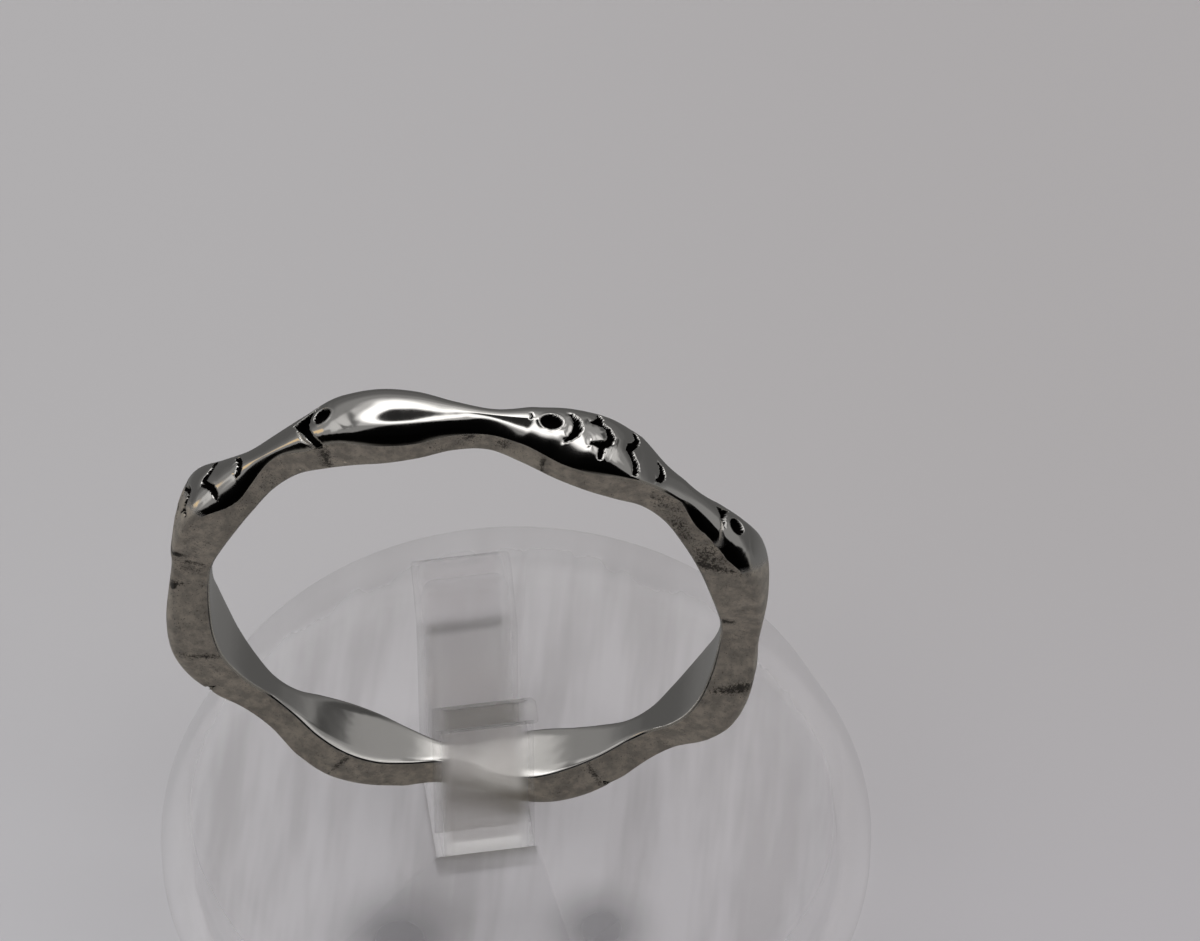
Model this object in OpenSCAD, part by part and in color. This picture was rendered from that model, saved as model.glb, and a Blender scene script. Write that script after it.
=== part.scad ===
// A cast silver ring of small fish that swim head to tail, upright in a clear clip on a round foot.
// X is to the right, Y runs from front to back along the ring's axis, Z is up.
// The origin is the middle of the foot's underside.

/* [Band] */
// Inside diameter of the ring
finger_d = 17.3; // [15.5:0.1:19]
// Fullness of the rounded outer face: 2 is an ellipse, more is squarer
dome_power = 2.5; // [2:0.1:3.2]
// Pairs of fish round the band, each pair a plain fish and a scaled one
fish_pairs = 4; // [3:1:5]
// Where the snout of the first plain fish lies, in degrees from the top towards the right
first_snout = -31.5; // [-60:0.5:60]

/* [Marks cut into the fish] */
// Depth of the scale and gill lines
line_depth = 0.22; // [0.1:0.02:0.3]
// Width of the scale and gill lines where they are widest
line_w = 0.24; // [0.12:0.01:0.28]
// Depth of the drilled eyes
eye_depth = 0.3; // [0.15:0.05:0.4]
// From a plain fish's snout to its eye
plain_eye_at = 0.9; // [0.7:0.05:1.2]
// Length and height of a plain fish's eye
plain_eye = [0.6, 0.54]; // [0.3:0.02:0.7]
// From a scaled fish's snout to its eye
scaled_eye_at = 0.58; // [0.5:0.02:0.8]
// Length and height of a scaled fish's eye
scaled_eye = [0.66, 0.52]; // [0.3:0.02:0.7]

/* [Tail fork] */
// From the point of the fork forward to the snout line of the next fish
fork_back = 0.36; // [0.2:0.02:0.5]
// From the middle line of the band to the point of the fork, towards the back
fork_side = 0.2; // [-0.2:0.02:0.3]
// From the snout line back to the tip of the nose that lies in the fork
nose_back = 0.34; // [0.2:0.01:0.4]
// From the middle line of the band to the tip of the nose, towards the back
nose_side = -0.1; // [-0.2:0.02:0.2]
// How far each plain fish's head is set back from its place
head_shift = [0, -0.3, -0.15, -0.1]; // [-0.3:0.01:0.1]
// How far the front arm of the fork runs backward for each millimetre to the side
fork_slope = 0.85; // [0.7:0.05:1.4]
// The same for its back arm, which is short and steep
fork_close = 4; // [1:0.1:5]
// How fast the nose rounds away from its tip
nose_curve = 0.75; // [0.6:0.05:0.9]

/* [Clip] */
// Width of the two leaves
leaf_w = 3.4; // [2.6:0.1:4]
// Thickness of a leaf
leaf_t = 0.8; // [0.6:0.05:1]
// Clear space between the leaves
slot_w = 3.1; // [3.1:0.05:3.4]
// How far a lip leans out past its leaf
lip_out = 1.5; // [0.8:0.1:2]
// Height of a lip
lip_h = 1.9; // [1.2:0.1:2.4]
// From the middle of the ring down to the tops of the lips
lip_drop = 2; // [1.4:0.1:3]
// Turn of the clip against the ring, seen from above
clip_turn = 13; // [0:1:13]

/* [Foot] */
// Widest diameter of the foot
foot_d = 25; // [22:0.5:32]
// Diameter of the flat top
foot_top_d = 22.3; // [18:0.1:23.5]
// Height of the foot
foot_h = 4; // [3:0.1:5]
// Thickness of the foot's top and of its wall
foot_t = 1.2; // [1:0.1:1.5]
// Diameter of the block under the middle of the foot, which takes the clip
boss_d = 10; // [9.6:0.1:12]
// Space between the ring and the foot below it
ring_clear = 0.55; // [0.4:0.05:0.8]
// Where the middle of the ring stands against the middle of the foot, to the right and to the back
ring_place = [-1.5, -1]; // [-1.5:0.1:1.5]
// How far the clip stands to the right of the middle of the ring
clip_shift = 0.25; // [-0.25:0.05:0.25]

/* [Hidden] */

// Cross sections of a fish from snout to tail, evenly spaced along it.
HALF_WIDTH = 0; // from the middle line of the band to its flat side
DEPTH = 1; // from the finger to the crest
SIDE = 2; // height of the flat side, from the finger to the edge of the rounded face
plain_fish = [
    [0.70, 1.55, 1.10], // snout
    [0.90, 1.85, 1.15], // head
    [1.05, 1.90, 1.05], // shoulder
    [0.95, 1.70, 0.95], // belly
    [0.60, 1.45, 0.90], // flank
    [0.45, 1.35, 0.95], // narrow of the tail
];
scaled_fish = [
    [0.75, 1.50, 1.10],
    [1.05, 1.72, 1.05],
    [1.10, 1.80, 1.10],
    [0.90, 1.50, 1.10],
    [0.55, 1.30, 1.05],
    [0.48, 1.35, 1.10],
];
stations = concat(plain_fish, scaled_fish);

// The flat sides are filed by hand, so their height wavers: [angle, change]
side_trim = [
    [-180, 0.2], [-90, 0.3], [-66, 0.42], [-61, 0.4], [-58, -0.03], [-54.5, -0.48], [-50, -0.38],
    [-45, -0.16], [-40, 0.15], [-35, 0.18], [-32.5, 0.08], [-29.5, -0.03], [-28, 0.05], [-26, 0.32],
    [-24, 0.17], [-21.5, 0.05], [-18, -0.08], [-10, -0.18], [0, -0.06], [12, -0.18], [24, -0.2],
    [30, 0], [35, 0.27], [41, 0.35], [44.5, 0.33], [47, 0.15], [50, -0.08], [53.5, -0.26],
    [56.5, -0.27], [59, -0.08], [60, 0], [61.5, -0.1], [63.5, -0.18], [66, -0.05], [67.5, 0.2],
    [69, 0.4], [78, 0.45], [100, 0.35], [180, 0.2]
];

// Lines cut into a scaled fish, each a run of points from one end to the other.
MARK_AT = 0; // from the snout back
MARK_Y = 1; // from the middle line towards the back of the ring
MARK_W = 2; // share of the width of a line where it is widest
gill_mark = [
    [1.17, 0.44, 0.2], [1.3, 0.34, 0.5], [1.42, 0.16, 0.8], [1.47, -0.05, 1],
    [1.42, -0.26, 0.8], [1.3, -0.44, 0.5], [1.17, -0.54, 0.2]
];
scale_marks = [
    // First row: the upper lobe, the whole scale and the lower lobe
    [[1.9, 0.3, 0.2], [2.1, 0.4, 0.85], [2.2, 0.55, 0.6], [2.17, 0.72, 0.4]],
    [
        [2.15, 0.34, 0.7], [2.28, 0.3, 0.4], [2.5, 0.18, 0.55], [2.61, -0.06, 0.85],
        [2.59, -0.25, 0.75], [2.45, -0.4, 0.85], [2.25, -0.46, 0.8], [2, -0.5, 0.2]
    ],
    [[2.35, -0.46, 0.9], [2.36, -0.62, 0.5], [2.38, -0.8, 0.5], [2.4, -0.86, 0.25]],
    // Second row: two half scales that meet on the middle line
    [
        [3.62, 0.72, 0.5], [3.72, 0.5, 0.65], [3.62, 0.27, 0.75], [3.42, 0.02, 0.9],
        [3.38, -0.12, 0.9], [3.56, -0.28, 0.7], [3.74, -0.46, 0.85], [3.8, -0.62, 0.75],
        [3.79, -0.78, 0.5]
    ],
    // Third row: one scale
    [
        [4.8, 0.24, 0.2], [4.93, 0.16, 0.5], [5, 0.02, 0.75], [5.02, -0.1, 0.85],
        [5, -0.22, 0.85], [4.93, -0.36, 0.6], [4.8, -0.44, 0.2]
    ],
];

finger_r = finger_d / 2;
pair_angle = 360 / fish_pairs;
station_angle = pair_angle / len(stations);
deepest = max([for (s = stations) s[DEPTH]]);
crest_r = finger_r + 1.55; // mean radius of the crest, on which lengths along a fish are laid out
section_step = 1.5; // degrees between cross sections of the band
section_n = 360 / section_step;
dome_least = 0.15; // least rise of the rounded face above the flat side
dome_n = 14; // straight steps in the rounded face of a cross section
nose_steps = 6; // straight steps in one side of a nose
mark_sides = 8; // sides of a line's round ends
past = 1; // how far a cutter stands clear of the crest
fork_half = 0.95; // how far a fork arm is cut to the side, past the edge of the band
seat_gap = 0.05; // space between the clip and its socket
seat_depth = 1.2; // how deep the clip is set into the foot
clip_place = [ring_place[0] + clip_shift, ring_place[1]];

ring_z = foot_h + ring_clear + finger_r + deepest;
lip_top = ring_z - lip_drop;
leaf_top = lip_top - lip_h;
slot_floor = foot_h + ring_clear / 3;

// Degrees along the band for a length along the crest
function degrees_for(length) = length / crest_r * 180 / PI;

// A size of the band at an angle, smooth through the stations on either side
function station(i, column) = stations[(i + 2 * len(stations)) % len(stations)][column];
function band_size(angle, column) =
    let (
        t = ((angle - first_snout) / station_angle + 8 * len(stations)) % len(stations),
        i = floor(t),
        f = t - i,
        a = station(i - 1, column),
        b = station(i, column),
        c = station(i + 1, column),
        d = station(i + 2, column)
    )
    b + f * ((c - a) + f * ((2 * a - 5 * b + 4 * c - d) + f * (3 * b - a - 3 * c + d))) / 2;

// Height of the flat sides at an angle, with the filing
function side_height(angle) =
    let (turn = (angle % 360 + 540) % 360 - 180)
    min(band_size(angle, SIDE) + lookup(turn, side_trim), band_size(angle, DEPTH) - dome_least);

// Radius of the rounded face at an angle and a distance from the middle line
function face_r(angle, y) =
    let (
        w = band_size(angle, HALF_WIDTH),
        side = side_height(angle),
        rise = band_size(angle, DEPTH) - side,
        across = min(abs(y) / w, 0.98)
    )
    finger_r + side + rise * pow(1 - pow(across, dome_power), 1 / dome_power);

// One cross section: two flat sides and the rounded face between them, as [radius, y]
function section(angle) =
    let (
        w = band_size(angle, HALF_WIDTH),
        side = side_height(angle),
        rise = band_size(angle, DEPTH) - side,
        e = 2 / dome_power
    )
    concat(
        [[finger_r, -w]],
        [
            for (k = [0:dome_n])
                let (a = 180 * k / dome_n, c = cos(a), s = sin(a))
                [finger_r + side + rise * pow(max(s, 0), e), -w * sign(c) * pow(abs(c), e)]
        ],
        [[finger_r, w]]
    );

// The plain cast band, before anything is cut into it
module band_blank() {
    m = dome_n + 3;
    points = [
        for (i = [0:section_n - 1])
            let (angle = i * section_step)
            for (p = section(angle))
                [p[0] * sin(angle), p[1], p[0] * cos(angle)]
    ];
    function at(i, k) = (i % section_n) * m + k % m;
    faces = [
        for (i = [0:section_n - 1], k = [0:m - 1], half = [0:1])
            half == 0
                ? [at(i, k), at(i, k + 1), at(i + 1, k + 1)]
                : [at(i, k), at(i + 1, k + 1), at(i + 1, k)]
    ];
    polyhedron(points, faces);
}

// Stands a flat cutter on the band: X along the fish towards its tail, Z out of the band
module on_band(angle, floor_r) {
    rotate([0, angle, 0])
        translate([0, 0, floor_r])
            linear_extrude(finger_r + deepest + past - floor_r)
                children();
}

module mark(snout, line) {
    middle = line[floor(len(line) / 2)][MARK_AT];
    faces = [for (p = line) face_r(snout + degrees_for(p[MARK_AT]), p[MARK_Y])];
    on_band(snout + degrees_for(middle), min(faces) - line_depth)
        for (k = [1:len(line) - 1])
            hull()
                for (p = [line[k - 1], line[k]])
                    translate([p[MARK_AT] - middle, p[MARK_Y]])
                        circle(d = line_w * p[MARK_W], $fn = mark_sides);
}

module eye(snout, at, size) {
    angle = snout + degrees_for(at);
    on_band(angle, face_r(angle, 0) - eye_depth)
        scale([size[0] / size[1], 1])
            circle(d = size[1], $fn = 16);
}

// The deep V between a forked tail and the nose of the fish behind it
module tail_fork(snout, shift) {
    function nose(y) = nose_back + shift + nose_curve * pow(y - nose_side, 2);
    function fork(y) = (y > fork_side ? fork_close : fork_slope) * abs(y - fork_side) - fork_back;
    floor_r = finger_r + band_size(snout, SIDE);
    intersection() {
        on_band(snout, floor_r)
            polygon(concat(
                [
                    for (k = [-nose_steps:nose_steps])
                        let (y = fork_half * k / nose_steps)
                        [nose(y), y]
                ],
                [[-1, fork_half], [-1, -fork_half]]
            ));
        on_band(snout, floor_r)
            polygon(concat(
                [for (y = [-fork_half, fork_side, fork_half]) [fork(y), y]],
                [[4, fork_half], [4, -fork_half]]
            ));
    }
}

module ring_band() {
    color("silver")
        translate([ring_place[0], ring_place[1], ring_z])
            difference() {
                band_blank();
                for (pair = [0:fish_pairs - 1]) {
                    plain_snout = first_snout + pair * pair_angle;
                    scaled_snout = plain_snout + pair_angle / 2;
                    shift = head_shift[pair % len(head_shift)];
                    tail_fork(plain_snout, shift);
                    eye(plain_snout, plain_eye_at + shift, plain_eye);
                    eye(scaled_snout, scaled_eye_at, scaled_eye);
                    for (line = concat([gill_mark], scale_marks))
                        mark(scaled_snout, line);
                }
            }
}

// Half of the clip's outline as [y, z], from the socket up the outside of a leaf and down its inside
function leaf_outline() =
    let (inside = slot_w / 2, outside = slot_w / 2 + leaf_t)
    [
        [outside, foot_h - seat_depth],
        [outside, leaf_top],
        [outside + lip_out, lip_top - leaf_t / 4],
        [inside + lip_out, lip_top],
        [inside, leaf_top + leaf_t / 4],
        [inside, slot_floor],
    ];

module stand_clip() {
    half = leaf_outline();
    back = [for (i = [len(half) - 1:-1:0]) [-half[i][0], half[i][1]]];
    color([0.88, 0.9, 0.92, 0.5])
        translate([clip_place[0], clip_place[1], 0])
            rotate([0, 0, clip_turn])
                rotate([90, 0, 90])
                    linear_extrude(leaf_w, center = true)
                        polygon(concat(half, back));
}

// The foot's outline: a short upright rim, a steep shoulder and a rounded edge to the flat top
function foot_outline() =
    let (
        rim_h = foot_h / 4,
        round = 0.8,
        top_r = foot_top_d / 2,
        steps = 4
    )
    concat(
        [[0, 0], [foot_d / 2, 0], [foot_d / 2, rim_h]],
        [
            for (k = [0:steps])
                let (a = 15 + 75 * k / steps)
                [top_r - round + round * cos(a), foot_h - round + round * sin(a)]
        ],
        [[0, foot_h]]
    );

// The open space under the foot, between its wall and the block in the middle
module foot_hollow() {
    under = 1; // how far the cutter stands out below
    roof = foot_h - foot_t;
    difference() {
        rotate_extrude($fn = 96)
            polygon([
                [0, -under],
                [foot_d / 2 - foot_t, -under],
                [foot_d / 2 - foot_t, foot_h / 4],
                [foot_top_d / 2 - foot_t, roof],
                [0, roof]
            ]);
        translate([0, 0, -2 * under])
            cylinder(d = boss_d, h = foot_h + 2 * under, $fn = 64);
    }
}

module stand_base() {
    color([0.85, 0.88, 0.9, 0.5])
        difference() {
            rotate_extrude($fn = 96)
                polygon(foot_outline());
            foot_hollow();
            translate([clip_place[0], clip_place[1], foot_h])
                rotate([0, 0, clip_turn])
                    cube([
                        leaf_w + 2 * seat_gap,
                        slot_w + 2 * leaf_t + 2 * seat_gap,
                        2 * (seat_depth + seat_gap)
                    ], center = true);
        }
}

ring_band();
stand_clip();
stand_base();
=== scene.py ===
"""A cast silver ring of small fish, upright in a clear clip on a round foot.

Sizes are in millimetres and degrees, and MM turns a length into the frame's metres.
"""

import math

import bmesh
import bpy
import numpy as np
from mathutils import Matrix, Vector


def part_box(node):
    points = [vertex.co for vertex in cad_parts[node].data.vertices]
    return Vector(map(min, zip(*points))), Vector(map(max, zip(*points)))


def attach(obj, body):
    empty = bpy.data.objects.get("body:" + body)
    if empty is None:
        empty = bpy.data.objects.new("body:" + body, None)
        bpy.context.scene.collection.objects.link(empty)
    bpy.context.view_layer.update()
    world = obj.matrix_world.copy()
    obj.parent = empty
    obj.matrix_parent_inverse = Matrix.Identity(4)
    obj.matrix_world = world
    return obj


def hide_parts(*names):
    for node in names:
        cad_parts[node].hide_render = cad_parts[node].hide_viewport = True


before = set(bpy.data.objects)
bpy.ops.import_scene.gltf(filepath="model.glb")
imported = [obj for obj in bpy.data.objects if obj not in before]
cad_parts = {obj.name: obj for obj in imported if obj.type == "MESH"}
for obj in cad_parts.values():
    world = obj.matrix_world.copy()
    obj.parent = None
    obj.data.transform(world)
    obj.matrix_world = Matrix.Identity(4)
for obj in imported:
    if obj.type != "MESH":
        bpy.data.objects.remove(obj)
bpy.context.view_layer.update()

MM = 0.001

# Where the ring, the clip and the foot stand, from the solids

ring_low, ring_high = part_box("ring_band")
clip_low, clip_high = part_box("stand_clip")
foot_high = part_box("stand_base")[1]
RING_MIDDLE = (ring_low + ring_high) / 2 / MM
CLIP_MIDDLE = (clip_low + clip_high) / 2 / MM
CLIP_TOP = clip_high.z / MM
FOOT_H = foot_high.z / MM
FOOT_R = foot_high.x / MM


# The camera: it looks down at the ring as the photograph does

PICTURE_W = 1200
SENSOR = 36
FOCAL_PX = 8049
CAMERA_UP = 51.0
CAMERA_TURN = 4.6
CAMERA_AWAY = 271.85
RING_RIGHT_OF_VIEW = -4.53
RING_ABOVE_VIEW = -4.36


def camera_axes():
    """The camera's right, its up and the way back to it, as unit vectors."""
    up, turn = math.radians(CAMERA_UP), math.radians(CAMERA_TURN)
    right = Vector((math.cos(turn), math.sin(turn), 0))
    above = Vector((-math.sin(up) * math.sin(turn), math.sin(up) * math.cos(turn), math.cos(up)))
    back = Vector((math.sin(turn) * math.cos(up), -math.cos(turn) * math.cos(up), math.sin(up)))
    return right, above, back


def set_camera():
    right, above, back = camera_axes()
    aim = RING_MIDDLE - RING_RIGHT_OF_VIEW * right - RING_ABOVE_VIEW * above
    eye = bpy.data.cameras.new("camera")
    eye.sensor_width = SENSOR
    eye.lens = FOCAL_PX / PICTURE_W * SENSOR
    eye.clip_start = 10 * MM
    eye.clip_end = 20
    camera = bpy.data.objects.new("camera", eye)
    camera.location = (aim + CAMERA_AWAY * back) * MM
    camera.rotation_euler = back.to_track_quat("Z", "Y").to_euler()
    bpy.context.scene.collection.objects.link(camera)
    bpy.context.scene.camera = camera


# Shader maths

class Level:
    """A value in a node tree. Arithmetic on it adds the Math nodes that work it out."""

    def __init__(self, bench, socket):
        self.bench = bench
        self.socket = socket

    def __add__(self, other):
        return self.bench.maths("ADD", self, other)

    def __sub__(self, other):
        return self.bench.maths("SUBTRACT", self, other)

    def __rsub__(self, other):
        return self.bench.maths("SUBTRACT", other, self)

    def __mul__(self, other):
        return self.bench.maths("MULTIPLY", self, other)

    def __truediv__(self, other):
        return self.bench.maths("DIVIDE", self, other)

    def __pow__(self, other):
        return self.bench.maths("POWER", self, other)

    __radd__ = __add__
    __rmul__ = __mul__


class Bench:
    """The node tree of one material or of the world, and the few ways in which nodes are added to it."""

    def __init__(self, tree):
        self.tree = tree
        tree.nodes.clear()

    def feed(self, socket, value):
        if isinstance(value, Level):
            self.tree.links.new(value.socket, socket)
        else:
            socket.default_value = value

    def node(self, kind, settings, sockets, out=0):
        """One node: its settings first, then the values or links of its sockets."""
        made = self.tree.nodes.new(kind)
        for name, value in settings.items():
            setattr(made, name, value)
        for name, value in sockets.items():
            self.feed(made.inputs[name], value)
        return Level(self, made.outputs[out])

    def maths(self, operation, first, second=0.0):
        return self.node("ShaderNodeMath", {"operation": operation}, {0: first, 1: second})

    def vector(self, operation, first, second, out="Vector"):
        return self.node("ShaderNodeVectorMath", {"operation": operation}, {0: first, 1: second}, out)

    def between(self, factor, first, second):
        """A colour from the first to the second."""
        settings = {"data_type": "RGBA", "clamp_factor": True}
        return self.node("ShaderNodeMix", settings, {0: factor, 6: first, 7: second}, 2)

    def ease(self, value, low, high, start=0.0, end=1.0):
        """From start to end in a soft step as the value goes from low to high."""
        sockets = {"Value": value, "From Min": low, "From Max": high, "To Min": start, "To Max": end}
        return self.node("ShaderNodeMapRange", {"interpolation_type": "SMOOTHSTEP"}, sockets)

    def noise(self, place, scale, detail, roughness=0.5):
        sockets = {"Vector": place, "Scale": scale, "Detail": detail, "Roughness": roughness}
        return self.node("ShaderNodeTexNoise", {}, sockets)

    def painted(self, name):
        """A value painted on the mesh's points."""
        return self.node("ShaderNodeAttribute", {"attribute_name": name}, {}, "Fac")

    def place(self):
        """Where a point lies in the frame, in millimetres."""
        point = self.node("ShaderNodeTexCoord", {}, {}, "Object")
        return self.vector("MULTIPLY", point, (1 / MM,) * 3)

    def along(self, place, direction):
        """How far a place lies in a direction."""
        return self.vector("DOT_PRODUCT", place, direction, "Value")

    def bump(self, height, deep, under=None):
        """A normal from a height in millimetres."""
        sockets = {"Strength": 1.0, "Distance": deep * MM, "Height": height}
        if under:
            sockets["Normal"] = under
        return self.node("ShaderNodeBump", {}, sockets)

    def finish(self, surface, kind="ShaderNodeOutputMaterial"):
        self.feed(self.tree.nodes.new(kind).inputs["Surface"], surface)


def new_material(name):
    material = bpy.data.materials.new(name)
    material.use_nodes = True
    return material, Bench(material.node_tree)


def add_piece(name, mesh, material):
    mesh.materials.append(material)
    piece = bpy.data.objects.new(name, mesh)
    bpy.context.scene.collection.objects.link(piece)
    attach(piece, "root")
    return piece


# The silver

POLISHED = (0.66, 0.65, 0.635, 1)
CAST_LIGHT = (0.62, 0.56, 0.475, 1)
CAST_DULL = (0.37, 0.335, 0.29, 1)
CAST_DARK = (0.035, 0.032, 0.028, 1)
BLACKENED = (0.006, 0.005, 0.005, 1)
# The last colour is painted on as glints, bright specks that stand in for sparkles of light
GLINT_PAINT = (0.9, 0.8, 0.68, 1)
POLISHED_ROUGH = 0.1
CLOUDED_ROUGH = 0.15
CAST_ROUGH = 0.42
BLACKENED_ROUGH = 0.8
CAST_GRAIN_H = 0.035
POLISH_WAVE_H = 0.005
# Noises in the silver: scale, detail and roughness
CLOUDS = (0.9, 3)
MOTTLES = (2.0, 6, 0.66)
GRAINS = (9.0, 4, 0.65)
CRUMBS = (20.0, 3, 0.6)
POLISH_WAVES = (1.6, 1)

# Small black holes at the outer edge, and painted glints on the front side, bright specks that stand in
# for
# sparkles of light: angle, distance from the axis, distance in front of the middle and radius
HOLES = ((-75.5, 9.95, 0.77, 0.15), (-88, 9.9, 0.45, 0.15), (-50, 9.2, 0.8, 0.05), (50, 9.0, 0.7, 0.05))
PAINTED_GLINTS = ((-37.2, 8.87, 0.48, 0.05), (-35.2, 8.97, 0.52, 0.05), (-25.4, 8.9, 0.9, 0.06))
SPOT_SOFT = 0.25


def round_spots(b, at, rows, soft):
    """1 inside round spots, each given by its middle and radius, and 0 outside."""
    found = 0.0
    for middle, size in rows:
        far = b.vector("DISTANCE", at, tuple(middle), "Value")
        found = b.maths("MAXIMUM", found, b.ease(far, size * (1 + soft), size * (1 - soft)))
    return found


def ring_spots(b, at, rows):
    """The same on the ring, from rows of angle, distance out, distance in front and radius."""
    spots = []
    for angle, out, front, size in rows:
        a = math.radians(angle)
        spots.append((RING_MIDDLE + Vector((out * math.sin(a), -front, out * math.cos(a))), size))
    return round_spots(b, at, spots, SPOT_SOFT)


def silver():
    """Polished silver, with a matte cast skin on the flat sides and black left in the cuts."""
    material, b = new_material("silver")
    at = b.place()
    skin, cut, stain = b.painted("skin"), b.painted("cut"), b.painted("stain")

    cloud, mottle, grain, crumb = (b.noise(at, *kind) for kind in (CLOUDS, MOTTLES, GRAINS, CRUMBS))
    near = stain + b.ease(cloud, 0.5, 0.72) * 0.35
    pits = b.ease(crumb + near * 0.17, 0.64, 0.7)
    smear = b.ease(grain + stain * 0.24, 0.6, 0.78)

    matte = b.between(b.ease(mottle, 0.36, 0.66), CAST_DULL, CAST_LIGHT)
    matte = b.between(b.maths("MAXIMUM", pits * 0.85, smear * 0.9), matte, CAST_DARK)
    holes, glints = ring_spots(b, at, HOLES), ring_spots(b, at, PAINTED_GLINTS)
    matte = b.between(holes * 0.95, matte, CAST_DARK)
    # Painted glints: bright specks on the cast skin that stand in for sparkles of light
    matte = b.between(glints, matte, GLINT_PAINT)
    colour = b.between(skin, POLISHED, matte)
    colour = b.between(b.ease(cut, 0.2, 0.6), colour, BLACKENED)

    rough = b.ease(cloud, 0.4, 0.7, POLISHED_ROUGH, CLOUDED_ROUGH)
    rough = rough + skin * (CAST_ROUGH - rough)
    rough = rough + b.ease(cut, 0.15, 0.5) * (BLACKENED_ROUGH - rough)

    cast = (grain * 0.4 + crumb * 0.3 - pits * 0.9 - smear * 0.4) * skin
    wave = b.noise(at, *POLISH_WAVES) * (1 - skin)
    normal = b.bump(wave, POLISH_WAVE_H, b.bump(cast, CAST_GRAIN_H))
    sockets = {"Base Color": colour, "Roughness": rough, "Normal": normal, "Metallic": 1 - skin * 0.6}
    b.finish(b.node("ShaderNodeBsdfPrincipled", {}, sockets))
    return material


# The clear plastic: the colours of its painted streaks, which stand in for refraction, run from dark to
# pale, and its cover from clear to hazy

FOOT_REFRACTION_STREAKS = (0.44, 0.42, 0.42, 1), (0.86, 0.85, 0.86, 1)
CLIP_REFRACTION_STREAKS = (0.88, 0.86, 0.86, 1), (1, 1, 1, 1)
CLEAREST = 0.12
FOOT_HAZY = 0.56
CLIP_HAZY = 0.74
WALL_SHARE = 0.7
UNDER_SHARE = 0.1
# The haze fades to the foot's rim over the first of these up to the first place, from front to back,
# and over the second from the second place on
RIM_FADES = (1.8, 6.0)
RIM_FADES_AT = (-5, 8)
LEAF_FADE_SIDE = 0.7
LEAF_FADE_TOP = 0.8
# Two spots of painted shade in the foot in front of the clip: middle and radius
FOOT_PAINTED_SHADE = (((-3.4, -7.3, 4), 1.8), ((3.5, -6.3, 4), 1.5))
PAINTED_SHADE_DARK = (0.02, 0.02, 0.025, 1)
PAINTED_SHADE_SOFT = 0.7
# Noises in the plastic: scale, detail and roughness. The painted streaks, which stand in for refraction,
# are drawn out to the back and up.
STREAKS = (0.55, 3, 0.55)
STREAKS_DRAWN = (1, 0.12, 0.12)
HAZES = (0.5, 4, 0.6)
SWELLS = (0.35, 1)
SWELL_H = 0.05
PLASTIC_ROUGH = 0.36
HAZE_ROUGH = 0.08


def clear_plastic(name, dark, pale, cover, shade_spots=()):
    """Clear moulded acrylic with faint painted streaks, from dark to pale, that stand in for the light
    and dark of refraction.
    The cover is how much it hides, from 0 to 1, worked out from the place in millimetres."""
    material, b = new_material(name)
    at = b.place()
    streak = b.noise(b.vector("MULTIPLY", at, STREAKS_DRAWN), *STREAKS)
    haze = b.ease(b.noise(at, *HAZES), 0.4, 0.75)
    # Painted streaks: light and dark colour that stands in for refraction in the plastic
    colour = b.between(b.ease(streak, 0.36, 0.64), dark, pale)
    sockets = {
        # Painted shade: dark spots in the foot where they are given
        "Base Color": b.between(round_spots(b, at, shade_spots, PAINTED_SHADE_SOFT), colour, PAINTED_SHADE_DARK),
        "Roughness": PLASTIC_ROUGH + haze * HAZE_ROUGH,
        "Transmission Weight": 1.0,
        "IOR": 1.49,
        "Specular IOR Level": 0.25,
        "Alpha": cover(b, at),
        "Normal": b.bump(b.noise(at, *SWELLS), SWELL_H),
    }
    b.finish(b.node("ShaderNodeBsdfPrincipled", {}, sockets))
    return material


def foot_cover(b, at):
    """The foot is hazy on top and round its outer wall, and clear underneath. The haze fades to the
    rim, over a wider stretch at the back."""
    out = b.vector("LENGTH", b.vector("MULTIPLY", at, (1, 1, 0)), (0, 0, 0), "Value")
    top = b.ease(b.along(at, (0, 0, 1)), FOOT_H - FOOT_WALL, FOOT_H - 0.1, UNDER_SHARE, 1.0)
    wall = b.ease(out, TOP_R, TOP_R + 0.4) * WALL_SHARE
    fade = b.ease(b.along(at, (0, 1, 0)), *RIM_FADES_AT, *RIM_FADES)
    return b.maths("MAXIMUM", top, wall) * b.ease(out, FOOT_R, FOOT_R - fade, CLEAREST, FOOT_HAZY)


def clip_cover(b, at):
    """The leaves are hazy, and clear towards their edges."""
    t = math.radians(CLIP_TURN)
    off = b.vector("SUBTRACT", at, tuple(CLIP_MIDDLE))
    across = b.maths("ABSOLUTE", b.along(off, (math.cos(t), math.sin(t), 0)))
    inside = b.ease(across, LEAF_W / 2, LEAF_W / 2 - LEAF_FADE_SIDE)
    below = b.ease(b.along(at, (0, 0, 1)), CLIP_TOP, CLIP_TOP - LEAF_FADE_TOP)
    return CLEAREST + inside * below * (CLIP_HAZY - CLEAREST)


# The ring: every size of the band repeats with a pair of fish

FINGER_R = 8.65
CREST_R = FINGER_R + 1.55
DOME_POWER = 2.5
PAIRS = 4
PAIR_TURN = 360 / PAIRS
FIRST_SNOUT = -31.5
SCALED_SNOUT = FIRST_SNOUT + PAIR_TURN / 2

# Half width, depth from the finger to the crest and height of the flat side, from snout to tail
PLAIN_FISH = (
    (0.70, 1.55, 1.10), (0.90, 1.85, 1.15), (1.05, 1.90, 1.05),
    (0.95, 1.70, 0.95), (0.60, 1.45, 0.90), (0.45, 1.35, 0.95),
)
SCALED_FISH = (
    (0.75, 1.50, 1.10), (1.05, 1.72, 1.05), (1.10, 1.80, 1.10),
    (0.90, 1.50, 1.10), (0.55, 1.30, 1.05), (0.48, 1.35, 1.10),
)

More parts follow.
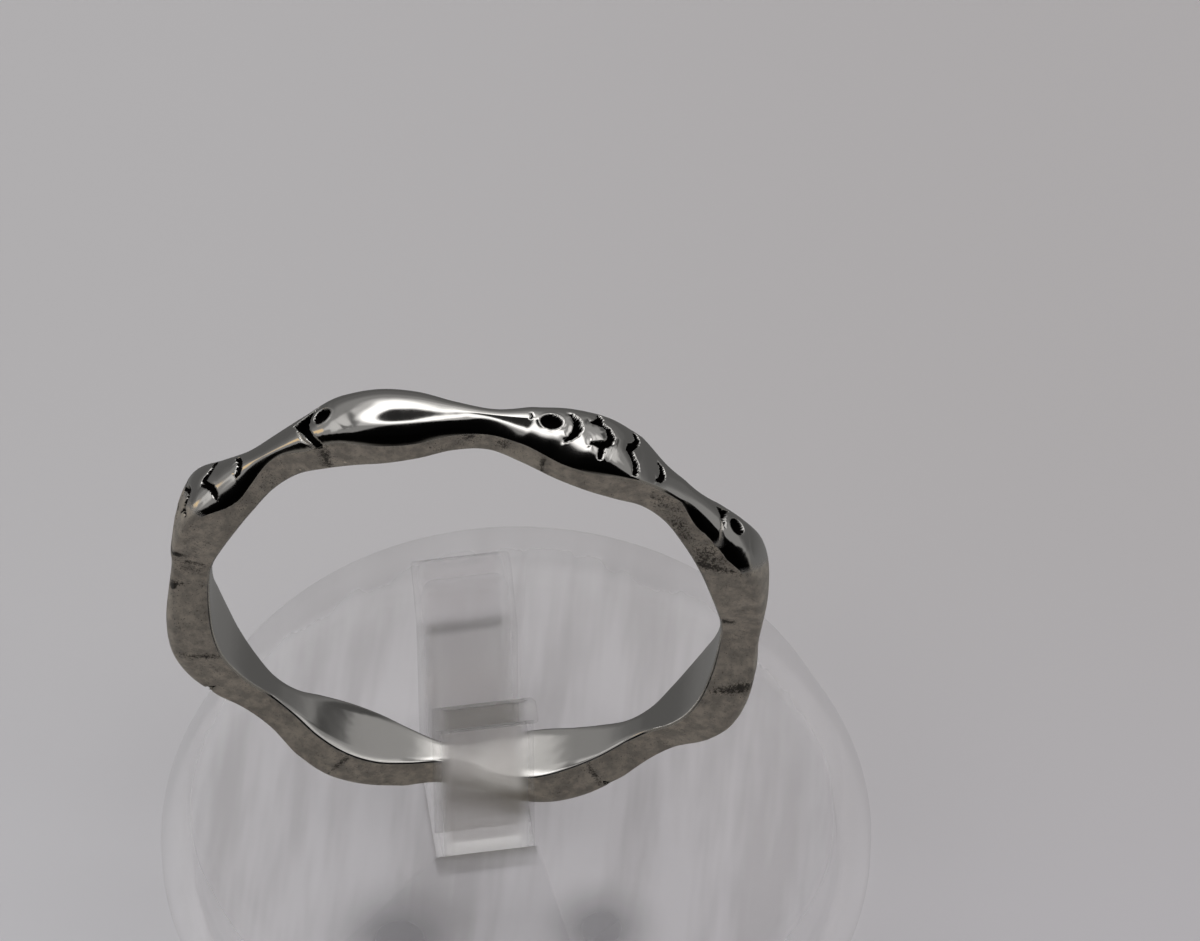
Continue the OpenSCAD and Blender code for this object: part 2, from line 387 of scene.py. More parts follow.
# The flat sides are filed by hand, so their height wavers: angle and change
SIDE_TRIM = (
    (-180, 0.2), (-90, 0.3), (-66, 0.42), (-61, 0.4), (-58, -0.03), (-54.5, -0.48), (-50, -0.38),
    (-45, -0.16), (-40, 0.06), (-35, 0.06), (-32.5, 0), (-29.5, -0.03), (-28, 0.05), (-26, 0.32),
    (-24, 0.17), (-21.5, 0.05), (-18, -0.08), (-10, -0.18), (0, -0.06), (12, -0.18), (24, -0.2),
    (30, 0), (35, 0.27), (41, 0.35), (44.5, 0.33), (47, 0.15), (50, -0.08), (53.5, -0.26),
    (56.5, -0.27), (58.8, -0.08), (60.3, 0.22), (61.8, -0.08), (63.5, -0.18), (66, -0.05), (67.5, 0.2),
    (69, 0.4), (78, 0.45), (100, 0.35), (180, 0.2),
)
# The change is the mean at these angles round each place, so that its corners are soft
TRIM_BLUR = (-3, -1.5, 0, 1.5, 3)
DOME_LEAST = 0.15
# The face's front half is rounder round one joint: angles where that starts, is full, is full still
# and ends
ROUNDER_AT = (-4, 4, 20, 28)
ROUNDER_POWER = 1.55
# How far each plain fish's head is set back from its place
HEAD_SHIFT = (0, -0.3, -0.15, -0.1)
# The outer face is dull below two lines across it: the angle on the middle line of the band, and
# how many degrees it changes for each millimetre to the back
DULL_LEFT = (63.5, 3)
DULL_RIGHT = (73, 4.5)
DULL_FADE = 1.3
DULL_MOST = 0.9

# Stretches along a pair, in millimetres behind the plain snout, that hold cuts and get close columns
FINE_STRETCHES = ((-0.65, 2.1), (7.75, 10.9), (11.05, 12.05), (12.6, 13.3))
FINE_STEP = 0.042
COARSE_STEP = 0.15
DOME_ROWS = 76
SIDE_ROWS = 6
INNER_ROWS = 6
EDGE_ROUND = 0.1
SKIN_EDGE = 0.02
FACE_REACH = 0.98

# Cuts in the fish, and the dip in the face ahead of each line
LINE_DEPTH = 0.22
LINE_W = 0.24
DIP_DEPTH = 0.045
DIP_W = 0.13
SOFT_EDGE = 0.032
# How far the edges waver, of a line and of a tail fork
RAGGED_LINE = 0.022
RAGGED_FORK = 0.02
# Black reaches past a cut's edge: where it starts and is full, in widths of the soft edge, and the
# depth of cut at which it is full
BLACK_STARTS = -1.3
BLACK_FULL = -0.2
BLACK_DEPTH = 0.02
# A line's dip and its wider black edge lie on the head's side: where each starts and is full, as
# shares of straight ahead, and the distances from the cut at which the black edge does
DIP_AHEAD = (0.2, 0.9)
BLACK_AHEAD = (0.1, 0.6)
BLACK_EDGE = (-0.055, -0.025)
# Each eye's distance from the snout, length and width, and the rim round it
PLAIN_EYE = (0.9, 0.6, 0.54)
SCALED_EYE = (0.58, 0.66, 0.52)
EYE_DEPTH = 0.3
EYE_RIM_H = 0.01
EYE_RIM_W = 0.09
EYE_RIM_OUT = 1.22
# The tail fork lies between two lines. Its tail side is a V with one steep side, and its head side
# is a curve.
FORK_BACK = 0.36
FORK_SIDE = 0.2
FORK_SLOPE = 0.85
FORK_CLOSE = 3.2
NOSE_BACK = 0.34
NOSE_SIDE = -0.1
NOSE_CURVE = 0.75
# Shallow creases, each with the snout that it is measured from, its width, its depth, how dull and
# how black it is along its middle, and its points, from the snout back and from the middle line to
# the back of the ring. One of less than no depth is a ridge.
CREASES = (
    # behind a plain head
    (FIRST_SNOUT, 0.09, 0.012, 0.0, 0.0, (
        (1.2, 0.35), (1.28, 0.05), (1.4, -0.27), (1.57, -0.45), (1.8, -0.64), (2.03, -0.76),
    )),
    # along the joint in front of a plain head
    (FIRST_SNOUT, 0.036, 0.045, 0.65, 0.0, ((-0.14, -0.12), (0.04, -0.5), (0.3, -0.72), (0.5, -0.82))),
    # behind the first row of scales
    (SCALED_SNOUT, 0.04, 0.014, 0.0, 0.0, ((2.83, 0.0), (2.82, -0.15), (2.74, -0.42), (2.66, -0.85))),
    # the swelling at a scaled snout's tip, and the nick in it
    (SCALED_SNOUT, 0.29, -0.027, 0.0, 0.0, ((-0.12, -1.0), (-0.12, 1.0))),
    (SCALED_SNOUT, 0.035, 0.04, 0.0, 0.8, ((-0.1, -0.02), (-0.05, 0.08), (-0.1, 0.2))),
)
# Lines cut into a scaled fish: points from the snout back and from the middle line to the back of
# the ring, each with its share of the width
GILL = (
    (1.17, 0.44, 0.2), (1.3, 0.34, 0.5), (1.42, 0.16, 0.8), (1.47, -0.05, 1), (1.42, -0.26, 0.8),
    (1.3, -0.44, 0.5), (1.17, -0.54, 0.2),
)
SCALES = (
    ((1.9, 0.3, 0.2), (2.1, 0.4, 0.85), (2.2, 0.55, 0.6), (2.17, 0.72, 0.4)),
    (
        (2.15, 0.34, 0.7), (2.28, 0.3, 0.4), (2.5, 0.18, 0.55), (2.61, -0.06, 0.85),
        (2.59, -0.25, 0.75), (2.45, -0.4, 0.85), (2.25, -0.46, 0.8), (2, -0.5, 0.2),
    ),
    ((2.35, -0.46, 0.9), (2.36, -0.62, 0.5), (2.38, -0.8, 0.5), (2.4, -0.86, 0.25)),
    (
        (3.62, 0.72, 0.5), (3.72, 0.5, 0.65), (3.62, 0.27, 0.75), (3.42, 0.02, 0.9), (3.38, -0.12, 0.9),
        (3.56, -0.28, 0.7), (3.74, -0.46, 0.85), (3.8, -0.62, 0.75), (3.79, -0.78, 0.5),
    ),
    (
        (4.8, 0.24, 0.2), (4.93, 0.16, 0.5), (5, 0.02, 0.75), (5.02, -0.1, 0.85), (5, -0.22, 0.85),
        (4.93, -0.36, 0.6), (4.8, -0.44, 0.2),
    ),
)


def ease(value, low, high):
    t = np.clip((value - low) / (high - low), 0, 1)
    return t * t * (3 - 2 * t)


def wrapped(angle):
    return (np.asarray(angle, float) + 180) % 360 - 180


def side_trim(angle):
    at, change = zip(*SIDE_TRIM)
    return sum(np.interp(wrapped(angle + k), at, change) for k in TRIM_BLUR) / len(TRIM_BLUR)


def band_sizes(angle):
    """Half width, depth and side height at angles, smooth through the tables' rows."""
    rows = np.array(PLAIN_FISH + SCALED_FISH)
    t = (np.asarray(angle, float) - FIRST_SNOUT) / (PAIR_TURN / len(rows)) % len(rows)
    first = np.floor(t).astype(int)
    f = (t - first)[..., None]
    a, b, c, d = (rows[(first + k) % len(rows)] for k in (-1, 0, 1, 2))
    size = b + f * ((c - a) + f * ((2 * a - 5 * b + 4 * c - d) + f * (3 * b - a - 3 * c + d))) / 2
    side = np.minimum(size[..., 2] + side_trim(angle), size[..., 1] - DOME_LEAST)
    return size[..., 0], size[..., 1], side


def dome_rise(angle, across):
    """How far the rounded face has risen from its side to its crest, 0 to 1."""
    start, full, last, end = ROUNDER_AT
    way = wrapped(angle)
    rounder = ease(way, start, full) * ease(way, end, last) * (across < 0)
    power = DOME_POWER - (DOME_POWER - ROUNDER_POWER) * rounder
    return (1 - np.minimum(np.abs(across), 1) ** power) ** (1 / power)


def face_radius(angle, y):
    """The radius of the uncut face at a place on it, which is kept a little off its edges."""
    w, depth, side = band_sizes(angle)
    across = np.clip(y / w, -FACE_REACH, FACE_REACH)
    return FINGER_R + side + (depth - side) * dome_rise(angle, across)


def degrees_for(length):
    return math.degrees(length / CREST_R)


def behind(angle, snout):
    """Millimetres along the crest behind the nearest snout of that kind."""
    turn = (angle - snout + PAIR_TURN / 2) % PAIR_TURN - PAIR_TURN / 2
    return np.radians(turn) * CREST_R


def column_angles():
    """Angles of the mesh's columns round the band, close together where there are cuts."""
    length = math.radians(PAIR_TURN) * CREST_R
    edges = [e for stretch in FINE_STRETCHES for e in stretch] + [FINE_STRETCHES[0][0] + length]
    places = []
    for k, (start, end) in enumerate(zip(edges, edges[1:])):
        step = FINE_STEP if k % 2 == 0 else COARSE_STEP
        places.extend(np.linspace(start, end, round((end - start) / step), endpoint=False))
    pair = FIRST_SNOUT + np.degrees(np.array(places) / CREST_R)
    return np.concatenate([pair + k * PAIR_TURN for k in range(PAIRS)])


def dome_steps():
    """Shares of the half width from one side to the other, evenly spaced along the rounded face."""
    half_width, rise = 1.0, 0.6
    a = np.linspace(0, math.pi, 2001)
    e = 2 / DOME_POWER
    across = -np.sign(np.cos(a)) * np.abs(np.cos(a)) ** e
    up = np.abs(np.sin(a)) ** e
    run = np.concatenate([[0], np.cumsum(np.hypot(half_width * np.diff(across), rise * np.diff(up)))])
    even = np.linspace(0, run[-1], DOME_ROWS + 1)
    return np.interp(even, run, across)


def ragged(angle, y):
    """An uneven edge, between -1 and 1, as a graver leaves it."""
    x = np.radians(angle) * CREST_R
    return (np.sin(31 * x + 17 * y) + np.sin(47 * y - 23 * x + 1.3) + np.sin(71 * x + 53 * y + 0.7)) / 3


class Relief:
    """The rounded face as radii on a grid, the black left in its cuts and the dull lines on it."""

    def __init__(self, angle, y, radius):
        self.angle, self.y, self.radius = angle, y, radius
        self.cut = np.zeros_like(radius)
        self.dull = np.zeros_like(radius)

    def carve(self, reach, floor):
        """Cuts down to the floor's radius where reach, the distance in from the edge, is positive."""
        inside = ease(reach, -SOFT_EDGE, SOFT_EDGE)
        drop = inside * np.maximum(self.radius - floor, 0)
        self.radius = self.radius - drop
        black = ease(reach, BLACK_STARTS * SOFT_EDGE, BLACK_FULL * SOFT_EDGE) * ease(drop, 0, BLACK_DEPTH)
        self.cut = np.maximum(self.cut, black)

    def swell(self, amount):
        self.radius = self.radius + amount

    def head_shift(self):
        pair = np.round((self.angle - FIRST_SNOUT) / PAIR_TURN).astype(int) % PAIRS
        return np.array(HEAD_SHIFT)[pair]

    def eye(self, snout, at, long, high, shift=0.0):
        x = behind(self.angle, snout) - at - shift
        q = np.hypot(x / (long / 2), self.y / (high / 2))
        floor = face_radius(snout + degrees_for(at), 0) - EYE_DEPTH
        off_rim = np.abs(q - EYE_RIM_OUT) * high / 2
        self.swell(EYE_RIM_H * (1 - ease(off_rim, 0.0, EYE_RIM_W)))
        self.carve((1 - q) * high / 2, floor)

    def to_run(self, snout, start, end):
        """How far each point is behind and beside a straight run, and where along the run, 0 to 1."""
        x, y = behind(self.angle, snout) - start[0], self.y - start[1]
        run_x, run_y = end[0] - start[0], end[1] - start[1]
        f = np.clip((x * run_x + y * run_y) / (run_x ** 2 + run_y ** 2), 0, 1)
        return x - f * run_x, y - f * run_y, f

    def line_cut(self, snout, line):
        """A line of changing width. The face dips towards it on the head's side, and is black there."""
        reach = np.full_like(self.radius, -9.0)
        ahead = np.zeros_like(self.radius)
        for start, end in zip(line, line[1:]):
            x, y, f = self.to_run(snout, start, end)
            far = np.hypot(x, y)
            inside = LINE_W / 2 * (start[2] + f * (end[2] - start[2])) - far
            ahead = np.where(inside > reach, -x / (far + 0.01), ahead)
            reach = np.maximum(reach, inside)
        floor = min(face_radius(snout + degrees_for(at), y) for at, y, _ in line) - LINE_DEPTH
        self.swell(-DIP_DEPTH * np.exp(np.minimum(reach, 0) / DIP_W) * ease(ahead, *DIP_AHEAD))
        reach = reach + RAGGED_LINE * ragged(self.angle, self.y)
        self.carve(reach, floor)
        self.cut = np.maximum(self.cut, ease(reach, *BLACK_EDGE) * ease(ahead, *BLACK_AHEAD))

    def tail_fork(self, snout):
        x = behind(self.angle, snout)
        across = self.y - NOSE_SIDE
        nose = NOSE_BACK + self.head_shift() + NOSE_CURVE * across ** 2 - x
        slope = np.where(self.y > FORK_SIDE, FORK_CLOSE, FORK_SLOPE)
        fork = x - (slope * np.abs(self.y - FORK_SIDE) - FORK_BACK)
        nose = nose / np.sqrt(1 + (2 * NOSE_CURVE * across) ** 2)
        fork = fork / np.hypot(1, slope)
        reach = np.minimum(nose, fork) + RAGGED_FORK * ragged(self.angle, self.y)
        self.carve(reach, FINGER_R + PLAIN_FISH[0][2])

    def crease(self, snout, wide, deep, dull, black, points):
        """A shallow groove along a line of points."""
        nearest = np.full_like(self.radius, 9.0)
        for start, end in zip(points, points[1:]):
            x, y, _ = self.to_run(snout, start, end)
            nearest = np.minimum(nearest, np.hypot(x, y))
        near = np.exp(-(nearest / wide) ** 2)
        self.swell(-deep * near)
        self.dull = np.maximum(self.dull, dull * near)
        self.cut = np.maximum(self.cut, black * near)


# Dark patches on the flat sides: angle, share of the side's height, lean along the band for the
# full height, half length and half height, and how dark, on the front side
STAINS = (
    (-28.9, 0.5, 0.45, 0.26, 0.7, 0.9), (17.4, 0.5, -0.15, 0.1, 0.5, 0.9),
    (66.4, 0.5, 0.9, 0.16, 0.6, 0.9), (107, 0.7, -0.8, 0.2, 0.5, 1.3),
    (86, 0.15, 0.5, 0.17, 0.22, 1.5), (-78, 0.45, 0.0, 0.2, 0.4, 0.7), (-75.5, 0.95, 0.0, 0.13, 0.2, 1.5),
    (-87, 0.95, 0.0, 0.12, 0.2, 1.5), (-81, 0.6, 0.0, 0.5, 0.5, 0.5),
    (1.8, 0.85, 0.0, 0.35, 0.25, 0.75), (9, 0.65, 0.0, 0.35, 0.3, 0.8),
    (45, 0.7, 0.0, 0.7, 0.3, 0.6), (54, 0.4, 0.0, 0.8, 0.35, 0.75), (63, 0.5, 0.0, 0.6, 0.6, 0.85),
    (-107, 0.5, 0.3, 0.15, 0.6, 0.9), (152, 0.5, 0.2, 0.12, 0.6, 0.9), (-152, 0.5, 0.2, 0.12, 0.6, 0.9),
)
# The smear at each snout on the back side: how far behind the snout, lean, half length and how dark
BACK_SMEAR = (0.5, 0.4, 0.14, 0.9)


def stains(angle, high, front):
    """How stained the flat sides are. The back has a smear at each snout."""
    found = np.zeros_like(high)
    for at, mid, lean, half_long, half_high, dark in STAINS:
        x = np.radians(wrapped(angle - at)) * CREST_R - lean * (high - mid)
        found = found + dark * np.exp(-(x / half_long) ** 2 - ((high - mid) / half_high) ** 2) * front
    at, lean, half_long, dark = BACK_SMEAR
    for snout in (FIRST_SNOUT, SCALED_SNOUT):
        x = behind(angle, snout) - at - lean * (high - 0.5)
        found = found + dark * np.exp(-(x / half_long) ** 2) * ~front
    return found


def carved_face(turn, half_width, depth, side):
    """The rounded face all round the band, with everything that is cut into it."""
    across = dome_steps()
    face = Relief(turn, half_width * across, FINGER_R + side + (depth - side) * dome_rise(turn, across))
    for row in CREASES:
        face.crease(*row)
    face.tail_fork(FIRST_SNOUT)
    face.eye(FIRST_SNOUT, *PLAIN_EYE, face.head_shift())
    face.eye(SCALED_SNOUT, *SCALED_EYE)
    for line in (GILL,) + SCALES:
        face.line_cut(SCALED_SNOUT, line)
    return face


def dull_below(turn, y):
    """1 on the outer face below its two lines, and 0 above them."""
    way = wrapped(turn)
    past_left = -way - DULL_LEFT[0] - DULL_LEFT[1] * y
    past_right = way - DULL_RIGHT[0] - DULL_RIGHT[1] * y
    return ease(np.maximum(past_left, past_right), -DULL_FADE, DULL_FADE)


def ring_grid():
    """The ring's points, in a column for each angle, and the values painted on them. The rows of a
    column go up the front side, over the face, down the back side and forward along the finger hole."""
    angle = column_angles()
    turn = angle[:, None]
    w, depth, side = (size[:, None] for size in band_sizes(angle))
    face = carved_face(turn, w, depth, side)

    side_r = FINGER_R + EDGE_ROUND + (side - EDGE_ROUND - SKIN_EDGE) * np.linspace(0, 1, SIDE_ROWS)
    side_y = w * np.ones(SIDE_ROWS)
    corner = np.radians([30, 60])
    corner_r = FINGER_R + EDGE_ROUND * (1 - np.cos(corner)) * np.ones_like(w)
    corner_y = w - EDGE_ROUND * (1 - np.sin(corner))
    inner_y = (w - EDGE_ROUND) * np.linspace(1, -1, INNER_ROWS + 1)
    inner_r = np.full_like(inner_y, FINGER_R)
    radius = np.hstack([side_r, face.radius, side_r[:, ::-1], corner_r[:, ::-1], inner_r, corner_r])
    y = np.hstack([-side_y, face.y, side_y, corner_y[:, ::-1], inner_y, -corner_y])

    on_face = slice(SIDE_ROWS, SIDE_ROWS + DOME_ROWS + 1)
    skin, cut = np.zeros_like(radius), np.zeros_like(radius)
    skin[:, :on_face.stop + SIDE_ROWS] = 1
    skin[:, on_face] = np.maximum(DULL_MOST * dull_below(turn, face.y), face.dull)
    cut[:, on_face] = face.cut
    stain = stains(turn, (radius - FINGER_R) / side, y < 0) * skin
    return angle, radius, y, {"skin": skin, "cut": cut, "stain": stain}


def grid_faces(columns, rows):
    """Quads round both ways of a closed grid, facing out."""
    i, k = np.meshgrid(np.arange(columns), np.arange(rows), indexing="ij")
    after_i, after_k = (i + 1) % columns, (k + 1) % rows
    return np.stack([i * rows + k, i * rows + after_k, after_i * rows + after_k, after_i * rows + k], -1)


def ring_band(material):
    angle, radius, y, painted = ring_grid()
    a = np.radians(angle)[:, None]
    points = np.stack([radius * np.sin(a), y, radius * np.cos(a)], -1).reshape(-1, 3)
    points = (points + np.array(RING_MIDDLE)) * MM
    columns, rows = radius.shape
    mesh = bpy.data.meshes.new("fish_ring")
    mesh.from_pydata(points.tolist(), [], grid_faces(columns, rows).reshape(-1, 4).tolist())
    for name, values in painted.items():
        layer = mesh.attributes.new(name, "FLOAT", "POINT")
        layer.data.foreach_set("value", np.ascontiguousarray(values, np.float32).ravel())
    mesh.shade_smooth()
    ring = add_piece("fish_ring", mesh, material)
    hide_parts("ring_band")


# The stand: the foot is turned, and the clip is cut from its side outline

RIM_H = FOOT_H / 4
TOP_R = 11.15
TOP_CORNER_R = TOP_R + 0.15
FOOT_WALL = 1.2
BLOCK_R = 5.0
LEAF_W = 3.4
LEAF_T = 0.8
SLOT_W = 3.1
LIP_OUT = 1.5
LIP_H = 1.9
SEAT_DEPTH = 1.2
SEAT_GAP = 0.05
CLIP_TURN = 13
SLOT_FLOOR = 4.18
CLIP_EDGE_ROUND = 0.12
SOCKET_ABOVE = 1
TURNED_SIDES = 144
ARC_STEPS = 5
SMOOTH_UNDER = 40


def rounded(corners, radii):
    """A closed outline with each corner turned into an arc of its own radius."""
    outline = []
    for k, (corner, radius) in enumerate(zip(corners, radii)):
        corner = np.array(corner, float)
        before, after = (np.array(corners[(k + s) % len(corners)], float) - corner for s in (-1, 1))
        near, far = before / np.linalg.norm(before), after / np.linalg.norm(after)
        half = math.acos(max(-1, min(1, near @ far))) / 2
        if radius == 0 or half > 1.5:
            outline.append(corner)
            continue
        reach = radius / math.tan(half)
        heart = corner + (near + far) / np.linalg.norm(near + far) * radius / math.sin(half)
        start, end = corner + near * reach - heart, corner + far * reach - heart
        sweep = math.pi - 2 * half
        for f in np.linspace(0, 1, ARC_STEPS + 1):
            turned = (math.sin((1 - f) * sweep) * start + math.sin(f * sweep) * end) / math.sin(sweep)
            outline.append(heart + turned)
    return np.array(outline)


def mesh_of(name, work):
    """The worked shape as a mesh, smooth but for its sharp edges."""
    mesh = bpy.data.meshes.new(name)
    bmesh.ops.recalc_face_normals(work, faces=work.faces)
    for edge in work.edges:
        edge.smooth = edge.calc_face_angle(0) < math.radians(SMOOTH_UNDER)
    for face in work.faces:
        face.smooth = True
    work.to_mesh(mesh)
    work.free()
    return mesh


def foot_mesh():
    """The foot: hollow underneath round a block, with every edge a little rounded."""
    roof = FOOT_H - FOOT_WALL
    corners = [
        (0, 0), (BLOCK_R, 0), (BLOCK_R, roof), (TOP_R - FOOT_WALL, roof),
        (FOOT_R - FOOT_WALL, RIM_H), (FOOT_R - FOOT_WALL, 0), (FOOT_R, 0), (FOOT_R, RIM_H),
        (TOP_CORNER_R, FOOT_H), (0, FOOT_H),
    ]
    outline = rounded(corners, [0, 0.25, 0.4, 0.5, 0.4, 0.2, 0.2, 0.3, 0.8, 0])
    turns = np.radians(np.arange(TURNED_SIDES) * 360 / TURNED_SIDES)
    work = bmesh.new()
    rings = []
    for r, z in outline:
        spots = [(r * math.cos(t), r * math.sin(t), z) for t in (turns if r > 0 else [0.0])]
        rings.append([work.verts.new(Vector(spot) * MM) for spot in spots])
    for low, high in zip(rings, rings[1:]):
        for k in range(TURNED_SIDES):
            after = (k + 1) % TURNED_SIDES
            if len(low) == 1:
                work.faces.new((low[0], high[after], high[k]))
            elif len(high) == 1:
                work.faces.new((low[k], low[after], high[0]))
            else:
                work.faces.new((low[k], low[after], high[after], high[k]))
    return mesh_of("foot_blank", work)


def clip_place(x, y, z):
    """A point of the clip, given across its leaves, from front to back and up, in the frame."""
    t = math.radians(CLIP_TURN)
    right = CLIP_MIDDLE.x + x * math.cos(t) - y * math.sin(t)
    back = CLIP_MIDDLE.y + x * math.sin(t) + y * math.cos(t)
    return Vector((right, back, z)) * MM


def slab(work, outline, half_w, bevel=0.0):
    """A solid with the outline as its two ends, across the clip."""
    ends = [[work.verts.new(clip_place(x, y, z)) for y, z in outline] for x in (-half_w, half_w)]
    caps = [work.faces.new(ends[0]), work.faces.new(ends[1][::-1])]
    for k in range(len(outline)):
        after = (k + 1) % len(outline)
        work.faces.new((ends[0][after], ends[0][k], ends[1][k], ends[1][after]))
    if bevel:
        rims = [edge for cap in caps for edge in cap.edges]
        bmesh.ops.bevel(work, geom=rims, offset=bevel * MM, segments=3, profile=0.5, affect="EDGES")


def clip_mesh():
    """The clip: two leaves that stand on one web and bend outward at their tops."""
    bend = CLIP_TOP - LIP_H
    inside, outside = SLOT_W / 2, SLOT_W / 2 + LEAF_T
    foot = FOOT_H - SEAT_DEPTH
    half = [
        (outside, foot), (outside, bend), (outside + LIP_OUT, CLIP_TOP - LEAF_T / 4),
        (inside + LIP_OUT, CLIP_TOP), (inside, bend + LEAF_T / 4), (inside, SLOT_FLOOR),
    ]
    radii = [0.1, 0.9, 0.16, 0.2, 0.5, 0.09]
    outline = rounded(half + [(-y, z) for y, z in half[::-1]], radii + radii[::-1])
    work = bmesh.new()
    slab(work, outline, LEAF_W / 2, CLIP_EDGE_ROUND)
    return mesh_of("clear_clip", work)


def socket_cutter():
    """The space in the foot that takes the clip."""
    half_y = SLOT_W / 2 + LEAF_T + SEAT_GAP
    low, high = FOOT_H - SEAT_DEPTH - SEAT_GAP, FOOT_H + SOCKET_ABOVE
    work = bmesh.new()
    slab(work, [(-half_y, low), (half_y, low), (half_y, high), (-half_y, high)], LEAF_W / 2 + SEAT_GAP)
    return mesh_of("socket", work)


def foot_with_socket():
    foot = bpy.data.objects.new("whole_foot", foot_mesh())
    socket = bpy.data.objects.new("socket", socket_cutter())
    for part in (foot, socket):
        bpy.context.scene.collection.objects.link(part)
    cut = foot.modifiers.new("socket", "BOOLEAN")
    cut.operation = "DIFFERENCE"
    cut.solver = "EXACT"
    cut.object = socket
    worked = foot.evaluated_get(bpy.context.evaluated_depsgraph_get())
    mesh = bpy.data.meshes.new_from_object(worked)
    mesh.name = "clear_foot"
    for part in (foot, socket):
        bpy.data.objects.remove(part)
    mesh.materials.clear()
    return mesh


def stand():
    """The foot and the clip. The silver doesn't mirror them, and they throw no shadow."""
    foot_haze = clear_plastic("clear_foot", *FOOT_REFRACTION_STREAKS, foot_cover, FOOT_PAINTED_SHADE)
    clip_haze = clear_plastic("clear_clip", *CLIP_REFRACTION_STREAKS, clip_cover)
    foot = (foot_with_socket(), foot_haze, "stand_base")
    clip = (clip_mesh(), clip_haze, "stand_clip")
    for shape, haze, node in (foot, clip):
        piece = add_piece(shape.name, shape, haze)
        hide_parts(node)
        piece.visible_shadow = False
        piece.visible_glossy = False


# The floor

# Grey paper, with painted light that makes it paler to the left and to the front: its colours on the left
# and on the right, far and near, and the places between which they change
PAPER_FAR = (0.71, 0.702, 0.728, 1), (0.673, 0.657, 0.678, 1)
PAPER_NEAR = (0.785, 0.783, 0.83, 1), (0.72, 0.705, 0.755, 1)
PAPER_LEFT_RIGHT = (-20, 24)
PAPER_FAR_NEAR = (-24, 17)
PAPER_REACH = 3000
# It lies a hair under the foot, so that the two don't share a plane
PAPER_DROP = 0.03


def paper():
    """Grey paper with painted light that makes it pale a little to the left and to the front."""
    material, b = new_material("floor")
    at = b.place()
    right = b.ease(b.along(at, (1, 0.1, 0)), *PAPER_LEFT_RIGHT)
    near = b.ease(b.along(at, (0, -1, 0)), *PAPER_FAR_NEAR)
    # Painted light: the paper is paler to the left and to the front
    colour = b.between(near, b.between(right, *PAPER_FAR), b.between(right, *PAPER_NEAR))
    sockets = {"Base Color": colour, "Roughness": 0.9, "Specular IOR Level": 0.0}
    b.finish(b.node("ShaderNodeBsdfPrincipled", {}, sockets))
    return material


def add_floor():
    mesh = bpy.data.meshes.new("floor")
    sides = ((-1, -1), (1, -1), (1, 1), (-1, 1))
    corners = [Vector((x * PAPER_REACH, y * PAPER_REACH, -PAPER_DROP)) * MM for x, y in sides]
    mesh.from_pydata(corners, [], [(0, 1, 2, 3)])
    mesh.materials.append(paper())
    floor = bpy.data.objects.new("floor", mesh)
    bpy.context.scene.collection.objects.link(floor)
    floor.visible_glossy = False


# The light: the room as the polished silver sees it

ROOM_GREY = 0.29
ROOM_LOW = 0.17
ROOM_COLOUR = (1, 0.985, 0.965, 1)
# Patches of the room: middle, half sizes, turn, softness and brightness. A direction is its angle to
# the right of the ring's front-to-back plane and its height in that plane, from the front over the
# top to the back.
ROOM = (
    ((0, 186), (90, 30), 0, 0.5, 0.15),  # the wall behind
    ((0, -166), (90, 26), 0, 0.5, 0.12),  # the floor behind
    ((-2, 96), (72, 46), 0, 0.16, 0.64),  # the pale ceiling
    ((-53, 82), (9, 40), 0, 0.8, 0.7),  # a strip light on the left
    ((-41, 92), (4, 44), 0, 0.5, 0.16),  # the frame beside it
    ((-9, 96), (28, 39), 0, 0.25, 2.0),  # the main light
    ((12, 92), (8, 30), 0, 0.3, 1.8),  # its right end
    ((-4.4, 93), (16, 27), 8, 0.25, 0.02),  # its dark middle
    ((22, 98), (3.5, 36), 0, 0.6, 0.3),  # the gap between the main light and the next
    ((35, 92), (9.5, 26), 0, 0.3, 1.0),  # the next light
    ((29, 132), (15, 12), 0, 0.4, 0.36),  # the grey shade behind it
    ((38, 149), (15, 8), 0, 0.5, 0.08),  # and the dark one
    ((57, 98), (8, 44), 0, 0.3, 0.7),  # a strip light on the right
)
# A warm lamp far out on the left, and the warm light that the table throws back
LAMP = ((-77, 118), (4, 48), 0, 0.8, 1.0)
LAMP_COLOUR = (1, 0.74, 0.42, 1)
TABLE_COLOUR = (1, 0.94, 0.84, 1)
# Where the room's lower part starts and is full, as shares of straight up, and where the table's
# light in it does, as shares of straight back
LOW_UP = (0.05, -0.2)
TABLE_BACK = (0.2, -0.2)
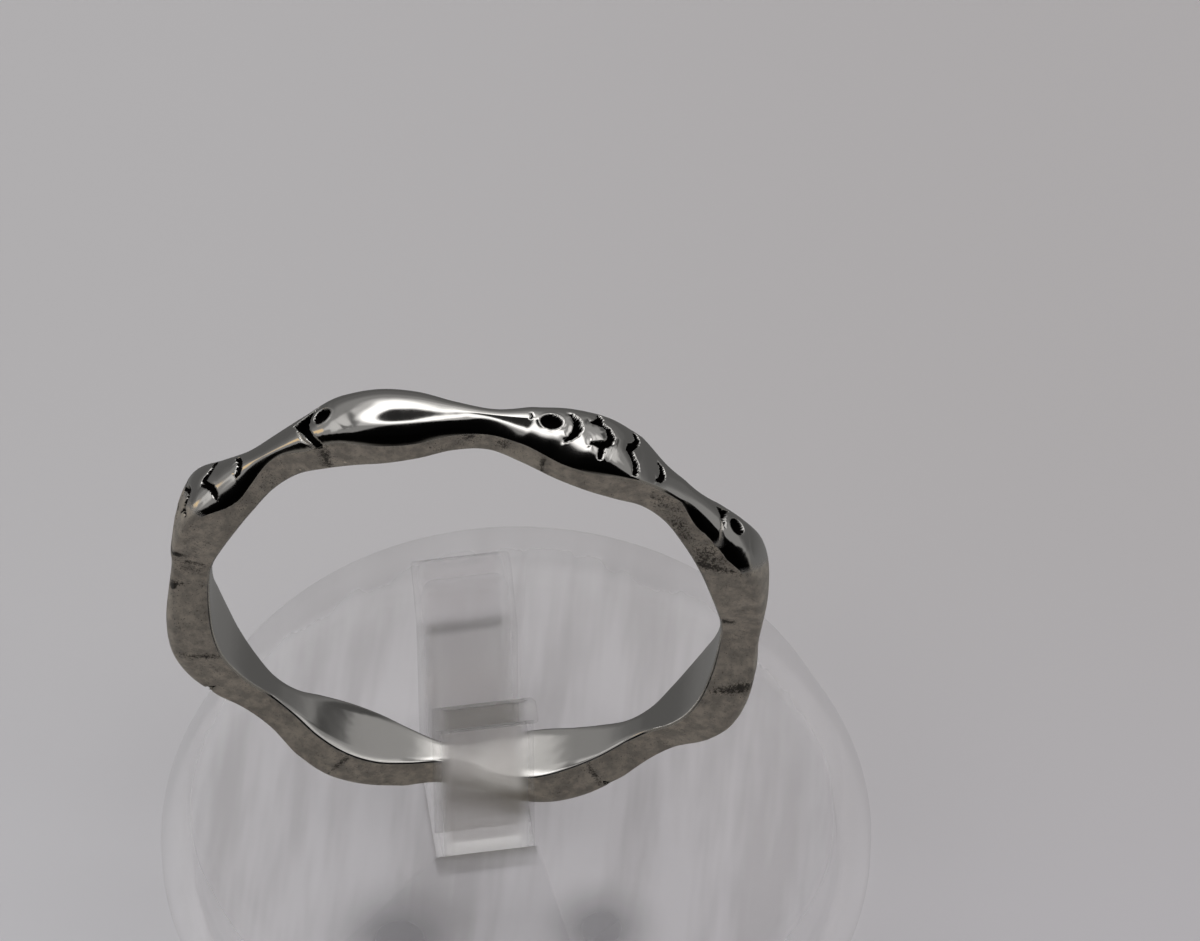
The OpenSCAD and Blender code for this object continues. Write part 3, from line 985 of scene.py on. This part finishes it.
# The dark front: its top falls away to both sides as far as its least height, and its foot rises
DARK_TOP = 58
DARK_TOP_AT = 14
DARK_FALL = 0.019
DARK_LEAST = 20
DARK_FOOT = -52
DARK_RISE = 0.008
DARK_TOP_SOFT = 3
DARK_FOOT_SOFT = 8
DARK_DEPTH = 0.995


def patch(b, side, height, row):
    """How far a direction is inside a patch of the room, from 0 to 1."""
    (side_at, height_at), (half_side, half_height), turn, soft, _ = row
    x, y = side - side_at, height - height_at
    if turn:
        c, s = math.cos(math.radians(turn)), math.sin(math.radians(turn))
        x, y = x * c - y * s, x * s + y * c
    far = (x / half_side) ** 2 + (y / half_height) ** 2
    return b.ease(far, 1 + soft, 1 - soft)


def set_studio():
    """A room of soft lights overhead, dark in front of the ring where the lens is."""
    world = bpy.data.worlds.new("studio")
    bpy.context.scene.world = world
    world.use_nodes = True
    b = Bench(world.node_tree)
    way = b.node("ShaderNodeTexCoord", {}, {}, "Generated")
    right, back, up = (b.along(way, axis) for axis in ((1, 0, 0), (0, 1, 0), (0, 0, 1)))
    side = b.maths("ARCSINE", right) * math.degrees(1)
    height = b.maths("ARCTAN2", up, back * -1) * math.degrees(1)

    low = b.ease(up, *LOW_UP)
    light = ROOM_GREY + low * (ROOM_LOW - ROOM_GREY)
    for row in ROOM + (LAMP,):
        light = light + patch(b, side, height, row) * (row[-1] - light)
    top = b.maths("MAXIMUM", DARK_TOP - (side - DARK_TOP_AT) ** 2 * DARK_FALL, DARK_LEAST)
    foot = DARK_FOOT + side ** 2 * DARK_RISE
    under_top = b.ease(height - top, DARK_TOP_SOFT, -DARK_TOP_SOFT)
    over_foot = b.ease(height - foot, -DARK_FOOT_SOFT, DARK_FOOT_SOFT)
    light = light * (1 - under_top * over_foot * DARK_DEPTH)
    colour = b.between(low * b.ease(back, *TABLE_BACK), ROOM_COLOUR, TABLE_COLOUR)
    colour = b.between(patch(b, side, height, LAMP), colour, LAMP_COLOUR)
    background = b.node("ShaderNodeBackground", {}, {"Color": colour, "Strength": light})
    b.finish(background, "ShaderNodeOutputWorld")


set_camera()
ring_band(silver())
stand()
add_floor()
set_studio()
bpy.context.scene.view_settings.view_transform = "Standard"
